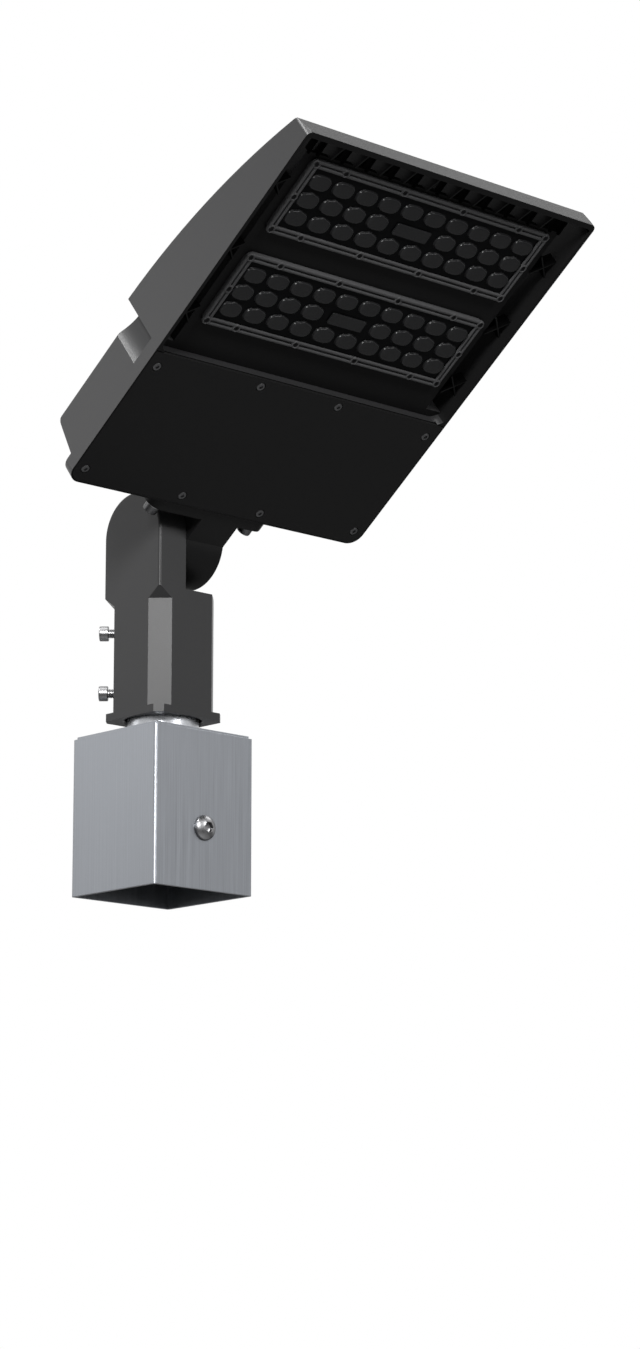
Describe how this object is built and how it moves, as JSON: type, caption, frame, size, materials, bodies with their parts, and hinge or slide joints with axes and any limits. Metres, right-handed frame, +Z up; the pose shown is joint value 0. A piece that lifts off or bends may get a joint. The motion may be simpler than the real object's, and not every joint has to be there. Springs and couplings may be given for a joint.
{
  "type": "pole-mounted area light",
  "caption": "Flat rectangular area light with a finned back and framed LED modules, on a tilting knuckle and slip fitter that turn on a round tenon adapter for a square pole.",
  "frame": {"origin": "centre of the pole's seat: on the pole's axis, at the underside of the adapter's cap plate", "axes": "+Z up along the pole, -Y the way the head points, X along the tilt axis; the head is drawn as pictured, 36.9 degrees above level"},
  "size_m": [0.3246, 0.4163, 0.5527],
  "materials": {
    "painted_housing": "dark grey powder coat, satin",
    "painted_fitter": "dark grey powder coat, satin",
    "painted_cover": "black powder coat, satin",
    "brushed_aluminium": "brushed along the pole",
    "bright_steel": "bright zinc or stainless",
    "dull_steel": "stainless",
    "black_rubber": "matt",
    "smoky_lens": "clear lens plate over a dark board",
    "black_plastic": "satin",
    "board": "black solder mask on an aluminium core",
    "led_chip": "yellow phosphor",
    "driver_case": "plain sheet case, potted",
    "white_plastic": "plain",
    "lead": "insulation"
  },
  "bodies": {
    "pole_adapter": {"pole_sleeve": "brushed_aluminium", "cap_plate": "brushed_aluminium", "tenon": "brushed_aluminium", "pole_screws": "dull_steel"},
    "fitter": {"slip_fitter": "painted_fitter", "tilt_bolt": "bright_steel", "tilt_washer": "dull_steel", "tilt_seal": "black_rubber"},
    "upper_screw": {"set_screw_upper": "bright_steel"},
    "lower_screw": {"set_screw_lower": "bright_steel"},
    "head": {"knuckle_arm": "painted_fitter", "arm_gasket": "black_rubber", "arm_washers": "dull_steel", "arm_bolts": "bright_steel", "lead_grommet": "black_rubber", "housing": "painted_housing", "driver_cover": "painted_cover", "cover_gasket": "black_rubber", "cover_screws": "dull_steel", "led_driver": "driver_case", "driver_screws": "dull_steel", "surge_protector": "white_plastic", "terminal_block": "white_plastic", "module_leads": "lead", "led_board_1": "board", "led_chips_1": "led_chip", "lens_panel_1": "smoky_lens", "lens_gasket_1": "black_rubber", "module_frame_1": "black_plastic", "module_screws_1": "dull_steel", "connector_cover_1": "black_plastic", "led_board_2": "board", "led_chips_2": "led_chip", "lens_panel_2": "smoky_lens", "lens_gasket_2": "black_rubber", "module_frame_2": "black_plastic", "module_screws_2": "dull_steel", "connector_cover_2": "black_plastic"}
  },
  "joints": [
    {"name": "swivel", "type": "hinge", "parent": "pole_adapter", "child": "fitter", "pos_m": [0, 0, 0.107], "axis": [0, 0, 1], "range_deg": [-180, 180]},
    {"name": "tilt", "type": "hinge", "parent": "fitter", "child": "head", "pos_m": [0, 0, 0.1764], "axis": [-1, 0, 0], "range_deg": [-36.9, 53.1]},
    {"name": "upper_screw_travel", "type": "slide", "parent": "fitter", "child": "upper_screw", "axis": [-0.7071, 0.7071, 0], "range_m": [0, 0.008]},
    {"name": "lower_screw_travel", "type": "slide", "parent": "fitter", "child": "lower_screw", "axis": [-0.7071, 0.7071, 0], "range_m": [0, 0.008]}
  ]
}
